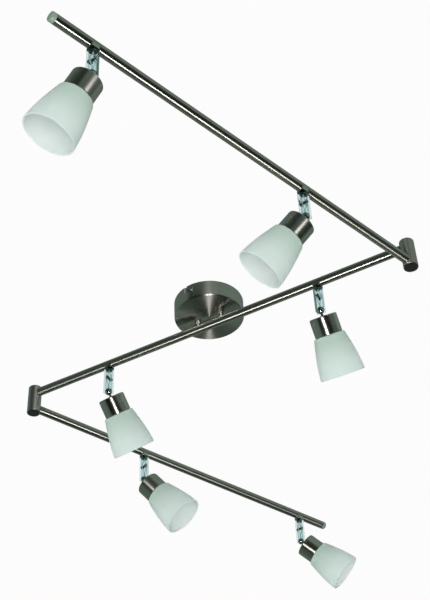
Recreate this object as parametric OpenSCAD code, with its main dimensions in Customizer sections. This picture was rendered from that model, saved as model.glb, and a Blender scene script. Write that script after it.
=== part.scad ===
// Folding ceiling spotlight bar with six glass-shaded lamps.
// Units are millimetres. +Z is up. The origin is the centre of the canopy on the ceiling plane, so
// everything hangs below z = 0. The centre bar runs along X.

/* [Canopy] */
// Outer diameter of the canopy
canopy_d = 110; // [100:1:130]
// Height of the canopy below the ceiling
canopy_h = 29; // [27:1:40]
// Thickness of the canopy's sheet
canopy_wall = 1; // [0.8:0.1:1.5]
// Radius of the canopy's lower edge
canopy_edge_r = 2; // [1:0.5:4]
// Distance between the two hanger posts
post_spacing = 41; // [38:1:50]
// Diameter of a hanger post
post_d = 10; // [9:0.5:11]

/* [Bars] */
// Outer diameter of the three tubes
bar_d = 14; // [13.5:0.1:14.5]
// Wall of the three tubes
bar_wall = 1; // [0.8:0.1:1.2]
// Canopy face down to the axis of the centre bar
bar_drop = 15.5; // [14:0.5:20]
// Distance between the two knuckle axes
knuckle_span = 670; // [620:5:720]
// Knuckle axis to the free end of an outer bar
outer_reach = 650; // [630:5:700]
// Centre bar axis down to the axis of the outer bars
bar_step = 29; // [29:0.5:32]
// Fold of the right outer bar against the centre bar
right_fold = 72; // [30:1:150]
// Fold of the left outer bar against the centre bar
left_fold = 68; // [30:1:150]

/* [Knuckles] */
// Diameter of a knuckle
knuckle_d = 22; // [21:0.5:24]
// Height of a knuckle
knuckle_h = 50; // [49:1:54]
// Gap between the two halves of a knuckle
knuckle_gap = 0.2; // [0.1:0.1:0.6]
// Diameter of the hollow knuckle pin
knuckle_pin_d = 8; // [7.5:0.1:8.5]

/* [Lamp places] */
// Middle of the centre bar to each of its lamps
centre_lamp = 187.5; // [160:2.5:210]
// Knuckle axis to the first lamp on an outer bar
inner_lamp = 225; // [200:5:250]
// Knuckle axis to the second lamp on an outer bar
outer_lamp = 585; // [540:5:600]
// Heading of lamps 1, 3 and 5 in plan, in degrees from +X
heading_135 = [-169, 92, 28]; // [-180:1:180]
// Heading of lamps 2, 4 and 6 in plan, in degrees from +X
heading_246 = [-169, 84, 32]; // [-180:1:180]
// Tilt of lamps 1, 3 and 5 from straight down
tilt_135 = [30, 40, 41]; // [0:1:50]
// Tilt of lamps 2, 4 and 6 from straight down
tilt_246 = [43, 42, 49]; // [0:1:50]

/* [Lamps] */
// Bar axis down to the centre of the ball joint
ball_drop = 55.5; // [52:0.5:60]
// Diameter of the ball
ball_d = 11; // [10:0.1:11.2]
// Width of the clear arm along its bar
arm_w = 13.5; // [13:0.1:15]
// Width of the clear arm across its bar
arm_t = 12.5; // [12.4:0.1:14]
// Outer diameter of the cup
cup_d = 42; // [40:0.5:46]
// Height of the cup
cup_h = 29; // [27:1:32]
// Ball centre to the top of the cup
cup_gap = 9; // [8.5:0.5:12]
// Diameter of the shade's open mouth
mouth_d = 68; // [62:1:74]
// Length of glass that shows below the cup
glass_len = 63; // [58:1:70]
// Thickness of the glass
glass_wall = 2.2; // [1.8:0.1:3]

/* [Hidden] */
$fn = 96;
LAMPS = [1:6];

// Clearances: close turning fits, parts that are fastened together, and loose covers.
fit = 0.05;
loose = 0.25;

// Levels of the bars and knuckles
centre_z = -canopy_h - bar_drop;
outer_z = centre_z - bar_step;
split_z = centre_z - bar_step / 2;
bar_r = bar_d / 2;
bar_in_r = bar_r - bar_wall;
knuckle_r = knuckle_d / 2;
knuckle_x = knuckle_span / 2;
pin_r = knuckle_pin_d / 2;
pin_head_r = 6;
pin_head_h = 2.5;
pin_web = 5.3;
knuckle_bore_r = 7.5;
tube_stop = 7.8;
knuckle_cap_r = 9.8;
knuckle_cap_t = 2;

// Ceiling bracket
strap_w = 27;
strap_t = 2;
strap_len = 2 * (canopy_d / 2 - canopy_wall - 2);
ear_h = 14;
slot_spacing = 60;
slot_len = 20;
slot_w = 5.5;
side_screw_z = -10;
slot_entry = 11.5;
side_screw_r = 2;
inlet_r = 6.5;
cable_r = 4;

// Hanger posts
stud_r = 4;
stud_len = 8;
post_bore_r = 2.2;
nut_af = 13;
nut_t = 5;

// Saddle, with a hollow spigot into the tube and another into the arm
saddle_bottom = 9.5;
corner_r = 3;
spigot_r = 3.5;
lead_bore_r = 2.1;
swivel_neck = 3.1;
flange_r = 4.7;
flange_t = 1.5;

// Clear arm
arm_top = saddle_bottom + 0.15;
cavity = [8.5, 7.5];
seam = 0.1;
clamp_z = 29;
clamp_boss_r = 2.9;
clamp_r = 1.5;
clamp_head_r = 2.6;
clamp_head_t = 1.7;
clamp_nut_af = 5.5;
clamp_nut_t = 2.2;
socket_cone = 72.5;
arm_lead_d = 1.2;

// Lamp head: distances along its axis, measured from the ball centre
ball_r = ball_d / 2;
stem_r = 2;
cup_r = cup_d / 2;
cup_wall = 1.2;
cup_end = cup_gap + cup_h;
floor_at = cup_end - 9;
floor_t = 2.5;
neck_r = cup_r - 1.8;
shoulder_r = cup_r + 3.2;
shoulder_at = cup_end + 3;
mouth_at = cup_end + glass_len;
holder_r = 9.75;
holder_end = cup_end + 7;
holder_recess = 8;
ring_r = 14;
ring_t = 4;
bulb_r = 6.5;
bulb_end = 80;

// Wires: the run along a bar, and the thinner branches that leave it
tube_wire_r = 1.2;
branch_r = 1;

// Places of the lamps: the bar that holds each one, and its own heading and tilt
function bar_angle(i) = i <= 2 ? 180 + right_fold : i <= 4 ? 0 : left_fold;
function bar_start(i) = i <= 2 ? [knuckle_x, 0, outer_z]
    : i <= 4 ? [0, 0, centre_z] : [-knuckle_x, 0, outer_z];
function lamp_reach(i) =
    [outer_lamp, inner_lamp, centre_lamp, -centre_lamp, inner_lamp, outer_lamp][i - 1];
function direction(a) = [cos(a), sin(a), 0];
function lamp_place(i) = bar_start(i) + lamp_reach(i) * direction(bar_angle(i));
function heading(i) = i % 2 == 1 ? heading_135[(i - 1) / 2] : heading_246[i / 2 - 1];
function tilt(i) = i % 2 == 1 ? tilt_135[(i - 1) / 2] : tilt_246[i / 2 - 1];

// Points of an arc, for revolved outlines
function arc(c, r, from, to, steps = 6) =
    [for (k = [0:steps]) c + r * [cos(from + (to - from) * k / steps), sin(from + (to - from) * k / steps)]];

// ---------- placing ----------

module on_bar(start, angle) {
    translate(start) rotate([0, 0, angle]) children();
}

module at_lamp(i) {
    translate(lamp_place(i)) rotate([0, 0, bar_angle(i)]) children();
}

// In here the head's axis is -Z and the ball centre is the origin.
module at_head(i) {
    translate(lamp_place(i) - [0, 0, ball_drop])
        rotate([0, 0, heading(i)]) rotate([0, -tilt(i), 0]) children();
}

module both_ends() {
    children();
    rotate([0, 0, 180]) children();
}

// ---------- shapes used in several places ----------

module rounded_column(w, t, r, h) {
    linear_extrude(h) union() {
        square([w - 2 * r, t], center = true);
        square([w, t - 2 * r], center = true);
        for (x = [-1, 1], y = [-1, 1]) translate([x * (w / 2 - r), y * (t / 2 - r)]) circle(r);
    }
}

module along_x(r, len) {
    rotate([0, 90, 0]) cylinder(r = r, h = len);
}

// A round lead through the given points. Its bends are balls a little thicker than the lead.
module lead(points, r) {
    for (k = [0:len(points) - 2]) {
        step = points[k + 1] - points[k];
        run = norm(step);
        translate(points[k]) rotate([0, acos(step.z / run), atan2(step.y, step.x)])
            cylinder(r = r, h = run, $fn = 24);
        if (k > 0) translate(points[k]) sphere(r = 1.08 * r, $fn = 24);
    }
}

module hex_nut(af, t, hole_r) {
    difference() {
        cylinder(d = af / cos(30), h = t, $fn = 6);
        translate([0, 0, -1]) cylinder(r = hole_r, h = t + 2);
    }
}

// ---------- canopy and its fixings ----------

module ceiling_bracket() {
    ear_y = strap_len / 2 - strap_t;
    color("silver") difference() {
        union() {
            translate([-strap_w / 2, -strap_len / 2, -strap_t]) cube([strap_w, strap_len, strap_t]);
            for (s = [-1, 1])
                translate([-strap_w / 2, s > 0 ? ear_y : -strap_len / 2, -ear_h])
                    cube([strap_w, strap_t, ear_h]);
        }
        translate([0, 0, -strap_t - 1]) cylinder(r = inlet_r, h = strap_t + 2);
        for (s = [-1, 1]) translate([0, s * slot_spacing / 2, -strap_t - 1]) linear_extrude(strap_t + 2) {
            square([slot_w, slot_len - slot_w], center = true);
            for (e = [-1, 1]) translate([0, e * (slot_len - slot_w) / 2]) circle(d = slot_w);
        }
        translate([0, strap_len / 2 + 1, side_screw_z])
            rotate([90, 0, 0]) cylinder(r = side_screw_r + fit, h = strap_len + 2);
    }
}

// Rubber bush in the bracket's centre hole, where the supply cable comes in.
module inlet_grommet() {
    lip = 1.2;
    color("dimgray") translate([0, 0, -strap_t - lip]) difference() {
        union() {
            cylinder(r = inlet_r - fit, h = strap_t + lip);
            cylinder(r = inlet_r + 2, h = lip - fit);
        }
        translate([0, 0, -1]) cylinder(r = cable_r, h = strap_t + lip + 2);
    }
}

// Slot that lets the canopy be pushed up over a side screw and turned until it hangs on the screw.
module screw_slot() {
    half = side_screw_r + 0.2;
    linear_extrude(8) {
        translate([0, side_screw_z]) circle(half);
        translate([0, side_screw_z - half]) square([slot_entry + half, 2 * half]);
        translate([slot_entry - half, side_screw_z - half]) square([2 * half, 20]);
    }
}

module canopy() {
    r = canopy_d / 2;
    inner_edge = canopy_edge_r - canopy_wall;
    outline = concat(
        [[0, -canopy_h]],
        arc([r - canopy_edge_r, -canopy_h + canopy_edge_r], canopy_edge_r, -90, 0, 8),
        [[r, 0], [r - canopy_wall, 0]],
        arc([r - canopy_edge_r, -canopy_h + canopy_edge_r], inner_edge, 0, -90, 6),
        [[0, -canopy_h + canopy_wall]]);
    color("lightsteelblue") difference() {
        rotate_extrude($fn = 180) polygon(outline);
        for (s = [-1, 1]) translate([s * post_spacing / 2, 0, -canopy_h - 1])
            cylinder(r = stud_r + 0.1, h = canopy_wall + 2);
        both_ends() translate([0, r + 3, 0]) rotate([90, 0, 0]) screw_slot();
    }
}

module canopy_screws() {
    reach = 8;
    color("silver") both_ends()
    translate([0, canopy_d / 2 + fit, side_screw_z]) rotate([90, 0, 0]) difference() {
        union() {
            cylinder(r = side_screw_r, h = reach);
            translate([0, 0, -1.4]) cylinder(r = 3.6, h = 1.4);
            translate([0, 0, -2.4]) cylinder(r1 = 2.4, r2 = 3.6, h = 1);
        }
        translate([-4, -0.4, -3]) cube([8, 0.8, 1.6]);
    }
}

module hanger_posts() {
    color("lightsteelblue") for (s = [-1, 1]) translate([s * post_spacing / 2, 0, 0]) difference() {
        union() {
            translate([0, 0, centre_z + 3.5]) cylinder(d = post_d, h = bar_drop - 3.5);
            translate([0, 0, -canopy_h]) cylinder(r = stud_r, h = stud_len + canopy_wall);
            translate([0, 0, centre_z + bar_in_r - 2]) cylinder(r = 3, h = 4);
        }
        // the tube's own wall, so that the post sits astride it
        difference() {
            translate([-post_d, 0, centre_z]) along_x(bar_r + fit, 2 * post_d);
            translate([0, 0, centre_z]) cylinder(r = 3, h = bar_d);
        }
        translate([0, 0, centre_z]) cylinder(r = post_bore_r, h = canopy_h + bar_drop);
    }
}

module post_nuts() {
    color("silver") for (s = [-1, 1])
        translate([s * post_spacing / 2, 0, -canopy_h + canopy_wall + fit])
            hex_nut(nut_af, nut_t, stud_r + fit);
}

module terminal_block() {
    size = [32, 16, 12];
    color("white") translate([0, 22, -canopy_h + canopy_wall + fit]) difference() {
        translate([-size.x / 2, -size.y / 2, 0]) cube(size);
        for (k = [-1:1]) translate([k * 10, 0, 0]) {
            for (e = [-1, 1]) translate([0, e * 4, size.z - 5]) cylinder(r = 1.9, h = 6);
            translate([0, -size.y, 4.5]) rotate([-90, 0, 0]) cylinder(r = 1.6, h = 2 * size.y);
        }
    }
}

// ---------- bars and knuckles ----------

module tube(from, to, holes_below = [], holes_above = []) {
    difference() {
        translate([from, 0, 0]) along_x(bar_r, to - from);
        translate([from - 1, 0, 0]) along_x(bar_in_r, to - from + 2);
        for (x = holes_below) translate([x, 0, -bar_r - 1]) cylinder(r = spigot_r + fit, h = bar_r);
        for (x = holes_above) translate([x, 0, 1]) cylinder(r = 3 + fit, h = bar_r);
    }
}

module centre_tube() {
    half = knuckle_x - tube_stop;
    color("lightsteelblue") translate([0, 0, centre_z])
        tube(-half, half, [-centre_lamp, centre_lamp], [-post_spacing / 2, post_spacing / 2]);
}

module outer_tube(start, angle) {
    color("lightsteelblue") on_bar(start, angle)
        tube(tube_stop, outer_reach - 7, [inner_lamp, outer_lamp]);
}

// Half of a knuckle, standing on z = 0, with its outer edge rounded and a side hole for the tube.
module knuckle_body(tube_z, h) {
    edge = 0.8;
    difference() {
        rotate_extrude() polygon(concat([[0, 0], [knuckle_r, 0]],
            arc([knuckle_r - edge, h - edge], edge, 0, 90, 4), [[0, h]]));
        translate([0, 0, tube_z]) along_x(bar_r + fit, knuckle_d);
    }
}

module knuckle_tops() {
    half_h = (knuckle_h - knuckle_gap) / 2;
    tube_z = (bar_step - knuckle_gap) / 2;
    color("lightsteelblue") both_ends()
    translate([-knuckle_x, 0, split_z + knuckle_gap / 2]) difference() {
        knuckle_body(tube_z, half_h);
        translate([-4, 0, tube_z]) along_x(bar_r + fit, knuckle_d);
        translate([0, 0, -1]) cylinder(r = pin_r + fit, h = tube_z + 1);
    }
}

// Hollow shoulder pins: screwed into the upper halves, with the head under the lower halves' web.
module knuckle_pins() {
    top = bar_step / 2 - bar_r;
    under = knuckle_gap / 2 + pin_web + 0.1;
    color("gray") for (x = [-knuckle_x, knuckle_x]) translate([x, 0, split_z]) difference() {
        union() {
            translate([0, 0, -under]) cylinder(r = pin_r, h = under + top);
            translate([0, 0, -under - pin_head_h]) cylinder(r = pin_head_r, h = pin_head_h);
        }
        translate([0, 0, -under - pin_head_h - 1]) cylinder(r = 2.75, h = under + pin_head_h + top + 2);
    }
}

module knuckle_base(start, angle) {
    half_h = (knuckle_h - knuckle_gap) / 2;
    tube_z = (bar_step - knuckle_gap) / 2;
    joint_face = [start.x, start.y, split_z - knuckle_gap / 2];
    color("lightsteelblue") on_bar(joint_face, angle) mirror([0, 0, 1]) difference() {
        knuckle_body(tube_z, half_h);
        translate([0, 0, -1]) cylinder(r = pin_r + fit, h = half_h);
        translate([0, 0, pin_web]) cylinder(r = knuckle_bore_r, h = half_h);
        translate([0, 0, half_h - knuckle_cap_t]) cylinder(r = knuckle_cap_r + fit, h = half_h);
    }
}

module knuckle_cap(start) {
    bottom = split_z - knuckle_h / 2;
    color("dimgray") translate([start.x, start.y, bottom + fit]) {
        cylinder(r = knuckle_cap_r, h = knuckle_cap_t - 2 * fit);
        translate([0, 0, knuckle_cap_t - 2 * fit]) cylinder(r = knuckle_bore_r - fit, h = 1.4);
    }
}

// Turned plug in the free end of an outer bar.
module end_cap(start, angle) {
    len = 7;
    edge = 2;
    plug_r = bar_in_r - fit;
    plug = [[0, -8], [plug_r - 0.5, -8], [plug_r, -7], [plug_r, 0], [bar_r - 0.4, 0], [bar_r, 0.4]];
    color("silver") on_bar(start, angle)
    translate([outer_reach - len + fit, 0, 0]) rotate([0, 90, 0]) rotate_extrude()
        polygon(concat(plug,
            arc([bar_r - edge, len - fit - edge], edge, 0, 90, 6), [[0, len - fit]]));
}

// ---------- saddle: joins an arm to its bar ----------

module saddle() {
    neck_top = bar_in_r - 1.8;
    difference() {
        union() {
            difference() {
                translate([0, 0, -saddle_bottom])
                    rounded_column(arm_w, arm_t, corner_r, saddle_bottom - 2);
                translate([-arm_w, 0, 0]) along_x(bar_r + fit, 2 * arm_w);
            }
            translate([0, 0, -saddle_bottom - swivel_neck])
                cylinder(r = spigot_r, h = saddle_bottom + swivel_neck - neck_top);
            translate([0, 0, -neck_top]) cylinder(r = spigot_r + 0.6, h = 0.8);
            translate([0, 0, -saddle_bottom - swivel_neck - flange_t])
                cylinder(r = flange_r, h = flange_t);
        }
        translate([0, 0, -saddle_bottom - swivel_neck - flange_t - 1])
            cylinder(r = lead_bore_r, h = saddle_bottom + 10);
    }
}

module saddles(lamps) {
    color("lightsteelblue") for (i = lamps) at_lamp(i) saddle();
}

// ---------- clear arm: two half shells, clamp screw, clamp nut and a pair of leads ----------

module arm_outside() {
    ball_z = -ball_drop;
    difference() {
        intersection() {
            translate([0, 0, ball_z - arm_w / 2])
                rounded_column(arm_w, arm_t, corner_r, ball_drop + arm_w / 2 - arm_top);
            union() {
                translate([-arm_w, -arm_t, ball_z]) cube([2 * arm_w, 2 * arm_t, ball_drop]);
                translate([0, arm_t, ball_z]) rotate([90, 0, 0]) cylinder(d = arm_w, h = 2 * arm_t);
            }
        }
        // cone that leaves the ball's stem free to tilt all round
        translate([0, 0, ball_z - 8]) cylinder(r1 = 8 * tan(socket_cone), r2 = 0, h = 8);
    }
}

module arm_hollow() {
    flange_top = saddle_bottom + swivel_neck;
    cavity_top = flange_top + flange_t + 0.15;
    difference() {
        union() {
            translate([0, 0, -flange_top]) cylinder(r = spigot_r + 0.06, h = flange_top);
            translate([0, 0, -cavity_top]) cylinder(r = flange_r + 0.15, h = flange_t + 0.3);
            translate([0, 0, -ball_drop]) rounded_column(cavity.x, cavity.y, 2, ball_drop - cavity_top);
            translate([0, 0, -ball_drop]) sphere(r = ball_r + 0.06);
        }
        translate([0, cavity.y, -clamp_z]) rotate([90, 0, 0])
            cylinder(r = clamp_boss_r, h = 2 * cavity.y);
        // wall above the ball, open in the middle for the leads
        translate([-arm_w, -arm_t, -ball_drop + ball_r - 1.2]) difference() {
            cube([2 * arm_w, 2 * arm_t, 2.6]);
            translate([arm_w, arm_t, -1]) cylinder(r = 3, h = 5);
            translate([arm_w, arm_t, 1.2 - ball_r]) sphere(r = ball_r + 0.06);
        }
    }
    translate([0, arm_t, -clamp_z]) rotate([90, 0, 0]) cylinder(r = clamp_r + fit, h = 2 * arm_t);
    translate([0, arm_t / 2 - clamp_head_t - 0.1, -clamp_z]) rotate([-90, 0, 0])
        cylinder(r = clamp_head_r + 0.1, h = arm_t);
    translate([0, -arm_t / 2 + clamp_nut_t + 0.1, -clamp_z]) rotate([90, 0, 0])
        cylinder(d = (clamp_nut_af + 0.2) / cos(30), h = arm_t, $fn = 6);
}

module arm_shell(side) {
    difference() {
        intersection() {
            arm_outside();
            translate([-arm_w, side > 0 ? seam / 2 : -arm_t - seam / 2, -2 * ball_drop])
                cube([2 * arm_w, arm_t, 2 * ball_drop]);
        }
        arm_hollow();
    }
}

module clamp_screw() {
    head_y = arm_t / 2 - clamp_head_t - 0.05;
    translate([0, 0, -clamp_z]) difference() {
        union() {
            translate([0, head_y, 0]) rotate([90, 0, 0])
                cylinder(r = clamp_r, h = arm_t - clamp_head_t - 0.4);
            translate([0, head_y, 0]) rotate([-90, 0, 0]) cylinder(r = clamp_head_r, h = clamp_head_t);
        }
        for (a = [0, 90]) rotate([0, a, 0]) translate([-1.6, head_y + 0.7, -0.3]) cube([3.2, 2, 0.6]);
    }
}

module arm_leads() {
    for (s = [-1, 1]) lead(
        [[s * 0.8, 0, -15], [s * 0.8, 0, -18], [s * 3.5, 0, -25],
         [s * 3.5, 0, -33], [s * 0.8, 0, -41], [s * 0.8, 0, -48]],
        arm_lead_d / 2);
}

module arm(i) {
    color("lightcyan", 0.5) at_lamp(i) for (s = [-1, 1]) arm_shell(s);
    color("silver") at_lamp(i) {
        clamp_screw();
        translate([0, -arm_t / 2 + 0.05, -clamp_z]) rotate([-90, 0, 0])
            hex_nut(clamp_nut_af, clamp_nut_t, clamp_r + fit);
    }
    color("gainsboro") at_lamp(i) arm_leads();
}

// ---------- lamp head ----------

module ball_stud(i) {
    thread_end = cup_gap + 4.4;
    color("silver") at_head(i) difference() {
        union() {
            sphere(r = ball_r);
            translate([0, 0, -thread_end]) cylinder(r = stem_r, h = thread_end);
            translate([0, 0, -thread_end]) cylinder(r = 3, h = thread_end - cup_gap + 0.5);
            translate([0, 0, -cup_gap]) cylinder(r = 4, h = 0.9);
        }
        translate([0, 0, -thread_end - 1]) cylinder(r = 1.2, h = thread_end + ball_d);
    }
}

module cup(i) {
    edge = 2.2;
    top = -cup_gap - fit;
    outline = concat(
        [[3.1, top]],
        arc([cup_r - edge, top - edge], edge, 90, 0, 8),
        [[cup_r, -cup_end], [cup_r - cup_wall, -cup_end]],
        arc([cup_r - edge, top - edge], edge - cup_wall, 0, 90, 6),
        [[3.1, top - cup_wall]]);
    color("lightsteelblue") at_head(i) rotate_extrude() polygon(outline);
}

// Ceramic lampholder, screwed on the ball stud, and the threaded ring that clamps the glass to it.
module lampholder(i) {
    top = cup_gap + cup_wall + 2 * fit;
    collar = floor_at - 2.6;
    color("wheat") at_head(i) difference() {
        translate([0, 0, -holder_end]) union() {
            cylinder(r = holder_r, h = holder_end - top - 3);
            translate([0, 0, holder_end - collar - 2.5]) cylinder(r = 13, h = 2.5);
            cylinder(r = 8, h = holder_end - top);
        }
        translate([0, 0, -cup_gap - 4.6]) cylinder(r = 3 + fit, h = 6);
        translate([0, 0, -cup_gap - 12]) cylinder(r = 1.6, h = 12);
        translate([0, 0, -holder_end - 1]) rounded_column(14, 8, 2, holder_recess + 1);
        for (x = [-4.5, 4.5]) translate([x, 0, -holder_end - 1]) cylinder(r = 1.1, h = holder_recess + 7);
    }
    color("wheat") at_head(i) translate([0, 0, -floor_at - floor_t - 0.1 - ring_t]) difference() {
        cylinder(r = ring_r, h = ring_t);
        translate([0, 0, -1]) cylinder(r = holder_r + 0.1, h = ring_t + 2);
        for (a = [0:60:300]) rotate([0, 0, a]) translate([ring_r, 0, -1]) cylinder(r = 1.5, h = ring_t + 2);
    }
}

// Capsule bulb with a flat two-pin base.
module bulb(i) {
    base_at = holder_end - holder_recess + 0.3;
    dome = bulb_end - bulb_r;
    color("white", 0.6) at_head(i) {
        translate([0, 0, -base_at - 11]) rounded_column(13, 6.8, 1.8, 11);
        rotate_extrude() polygon(concat([[0, -base_at - 9], [4, -base_at - 9], [bulb_r, -base_at - 13]],
            arc([0, -dome], bulb_r, 0, -90, 10)));
        for (x = [-4.5, 4.5]) translate([x, 0, -base_at]) cylinder(r = 0.8, h = 5);
    }
}

// How far the bell has widened from its shoulder (0) to its mouth (1), at the fraction t of its length.
function flare(t) = 0.75 * sin(90 * t) + 0.25 * t;

module shade(i) {
    steps = 12;
    rim = glass_wall / 2;
    bell_len = mouth_at - rim - shoulder_at;
    mouth_r = mouth_d / 2 - rim;
    spread = mouth_r + rim - shoulder_r;
    flank = [for (k = [0:steps])
        [shoulder_r + spread * flare(k / steps), -shoulder_at - bell_len * k / steps]];
    outline = concat(
        [[holder_r + loose, -floor_at], [neck_r - 1.5, -floor_at]],
        arc([neck_r - 1.5, -floor_at - 1.5], 1.5, 60, 0, 3),
        [[neck_r, -cup_end - 0.3], [cup_r - 0.2, -cup_end - 0.5]],
        arc([shoulder_r - 2.5, -shoulder_at], 2.5, 90, 20, 4),
        flank,
        arc([mouth_r, -mouth_at + rim], rim, -30, -150, 4),
        [for (k = [steps:-1:0]) flank[k] - [glass_wall, 0]],
        [[neck_r - glass_wall, -cup_end - 0.5], [neck_r - glass_wall, -floor_at - floor_t],
         [holder_r + loose, -floor_at - floor_t]]);
    color("honeydew", 0.8) at_head(i) rotate_extrude($fn = 128) polygon(outline);
}

// ---------- wiring inside the bars ----------

module wiring_centre() {
    post_x = post_spacing / 2;
    color("gray") {
        lead([[10, 18, -23.45], [10, 11, -23.45], [post_x, 0, -14], [post_x, 0, centre_z]], branch_r);
        lead([[-knuckle_x, 0, centre_z - 8], [-knuckle_x, 0, centre_z], [knuckle_x, 0, centre_z],
            [knuckle_x, 0, centre_z - 8]], tube_wire_r);
        for (i = [3, 4]) at_lamp(i) lead([[0, 0, 0], [0, 0, -14]], branch_r);
    }
}

module wiring_outer(start, angle, lamps) {
    color("gray") {
        on_bar(start, angle) lead([[0, 0, 5], [0, 0, 0], [outer_lamp, 0, 0]], tube_wire_r);
        for (i = lamps) at_lamp(i) lead([[0, 0, 0], [0, 0, -14]], branch_r);
    }
}

// ---------- the nodes ----------

ceiling_bracket();
inlet_grommet();
canopy();
canopy_screws();
hanger_posts();
post_nuts();
terminal_block();
centre_tube();
knuckle_tops();
knuckle_pins();
saddles([3, 4]);  // saddles_centre
wiring_centre();
for (i = [1, 5]) {
    side = i == 1 ? "right" : "left";
    start = bar_start(i);
    angle = bar_angle(i);
    lamps = [i, i + 1];
    outer_tube(start, angle);
    knuckle_base(start, angle);
    knuckle_cap(start);
    end_cap(start, angle);
    saddles(lamps);
    wiring_outer(start, angle, lamps);
}
for (i = LAMPS) {
    arm(i);
    ball_stud(i);
    cup(i);
    lampholder(i);
    bulb(i);
    shade(i);
}
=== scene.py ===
"""Looks for the six-lamp folding spotlight bar. Lengths are in millimetres and turned to metres when a
mesh or a matrix is made. Every piece is built once in its own frame, then placed on its CAD body."""

from math import cos, pi, radians, sin, tan

import bmesh
import bpy
from mathutils import Matrix, Vector


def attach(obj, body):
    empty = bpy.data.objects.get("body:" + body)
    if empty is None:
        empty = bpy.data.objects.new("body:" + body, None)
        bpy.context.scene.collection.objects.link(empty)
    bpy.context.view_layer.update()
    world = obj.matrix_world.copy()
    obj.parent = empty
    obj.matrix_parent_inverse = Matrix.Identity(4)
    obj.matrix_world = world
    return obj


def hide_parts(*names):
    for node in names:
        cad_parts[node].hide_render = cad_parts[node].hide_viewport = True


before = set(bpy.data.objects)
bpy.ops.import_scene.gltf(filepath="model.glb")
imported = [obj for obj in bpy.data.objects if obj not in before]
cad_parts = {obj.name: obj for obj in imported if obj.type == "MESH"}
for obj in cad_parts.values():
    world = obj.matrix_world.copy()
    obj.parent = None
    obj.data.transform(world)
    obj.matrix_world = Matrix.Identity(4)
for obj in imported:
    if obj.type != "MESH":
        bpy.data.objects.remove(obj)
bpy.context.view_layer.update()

MM = 0.001

# ---------------------------------------------------------------- sizes, as on the CAD part
CANOPY_R, CANOPY_H, CANOPY_WALL, CANOPY_EDGE = 55, 29, 1, 2
SCREW_Z, SLOT_ENTRY, SLOT_R = -10, 11.5, 2.2
POST_X, POST_R, POST_BORE_R = 20.5, 5, 2.2
STUD_R, STUD_HOLE_R, STUD_TOP = 4, 4.1, -20
BAR_R, BAR_WALL, BAR_DROP, BAR_STEP = 7, 1, 15.5, 29
BAR_INNER_R = BAR_R - BAR_WALL
LAMP_HOLE_R, POST_HOLE_R = 3.55, 3.05
CENTRE_Z = -CANOPY_H - BAR_DROP
OUTER_Z = CENTRE_Z - BAR_STEP
SPLIT_Z = CENTRE_Z - BAR_STEP / 2
KNUCKLE_X, KNUCKLE_R, KNUCKLE_H, KNUCKLE_GAP, KNUCKLE_EDGE = 335, 11, 50, 0.2, 0.8
PIN_HOLE_R, CHAMBER_R, CHAMBER_TOP = 4.05, 7.5, 5.3
LID_R, LID_RECESS_R, LID_RECESS_T = 9.8, 9.85, 2
TUBE_STOP, OUTER_REACH, CAP_LEN, PLUG_LEN = 7.8, 650, 7, 8
RIGHT_FOLD, LEFT_FOLD = 72, 68
SADDLE_BOTTOM, SADDLE_TOP, SADDLE_NECK = 9.5, 2, 3.1
NECK_BORE_R, NECK_TUBE_R = 2.1, 3.5
FLANGE_R, FLANGE_T = 4.7, 1.5
NECK_RIM_R, NECK_RIM_LOW, NECK_RIM_HIGH = 4.1, -4.2, -3.4
BALL_DROP, BALL_R, SOCKET_R = 55.5, 5.5, 5.56
ARM_W, ARM_T, ARM_CORNER, ARM_GAP = 13.5, 12.5, 3, 0.15
CONE_H, CONE_ANGLE = 8, 72.5
CLAMP_Z, CLAMP_R, CLAMP_HOLE_R, CLAMP_HEAD_R, CLAMP_HEAD_H = 29, 1.5, 1.55, 2.6, 1.7
NUT_HALF, NUT_T, NUT_POCKET_R = 2.75, 2.2, 3.3
LEAD_R = 0.6
LEAD_ROUTE = [(0.8, -15), (0.8, -18), (3.5, -25), (3.5, -33), (0.8, -41), (0.8, -48)]
CUP_R, CUP_H, CUP_WALL, CUP_GAP, CUP_EDGE, CUP_HOLE_R = 21, 29, 1.2, 9, 2.2, 3.1
CUP_END = CUP_GAP + CUP_H
FLOOR_AT, FLOOR_T = CUP_END - 9, 2.5
NECK_R, SHOULDER_R, SHOULDER_AT = CUP_R - 1.8, CUP_R + 3.2, CUP_END + 3
NECK_EDGE, SHOULDER_EDGE = 1.5, 2.5
MOUTH_R, MOUTH_AT, GLASS_WALL = 34, CUP_END + 63, 2.2
HOLDER_R, HOLDER_END, HOLDER_RECESS = 9.75, CUP_END + 7, 8
COLLAR_R, COLLAR_T = 13, 2.5
RING_R, RING_T = 14, 4
BULB_R, BULB_END, BULB_PIN_X = 6.5, 80, 4.5
CENTRE_LAMP, NEAR_LAMP, FAR_LAMP = 187.5, 225, 585

# small gaps between pieces, and how far a cutter reaches to go right through a bar, a saddle or an arm
FIT, POST_FIT, SADDLE_FIT = 0.05, 0.03, 0.04
THROUGH = 12

# side: start of the bar, its direction in plan, the CAD body it belongs to
BARS = {
    "right": (Vector((KNUCKLE_X, 0, OUTER_Z)), 180 + RIGHT_FOLD, "right_bar"),
    "centre": (Vector((0, 0, CENTRE_Z)), 0, "fixed_frame"),
    "left": (Vector((-KNUCKLE_X, 0, OUTER_Z)), LEFT_FOLD, "left_bar"),
}
# lamp number: bar side, distance along the bar, heading and tilt of the head
LAMPS = {
    1: ("right", FAR_LAMP, -169, 30),
    2: ("right", NEAR_LAMP, -169, 43),
    3: ("centre", CENTRE_LAMP, 92, 40),
    4: ("centre", -CENTRE_LAMP, 84, 42),
    5: ("left", NEAR_LAMP, 28, 41),
    6: ("left", FAR_LAMP, 32, 49),
}


def move(x, y, z):
    return Matrix.Translation(Vector((x, y, z)) * MM)


def turn(angle, axis):
    return Matrix.Rotation(radians(angle), 4, axis)


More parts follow.
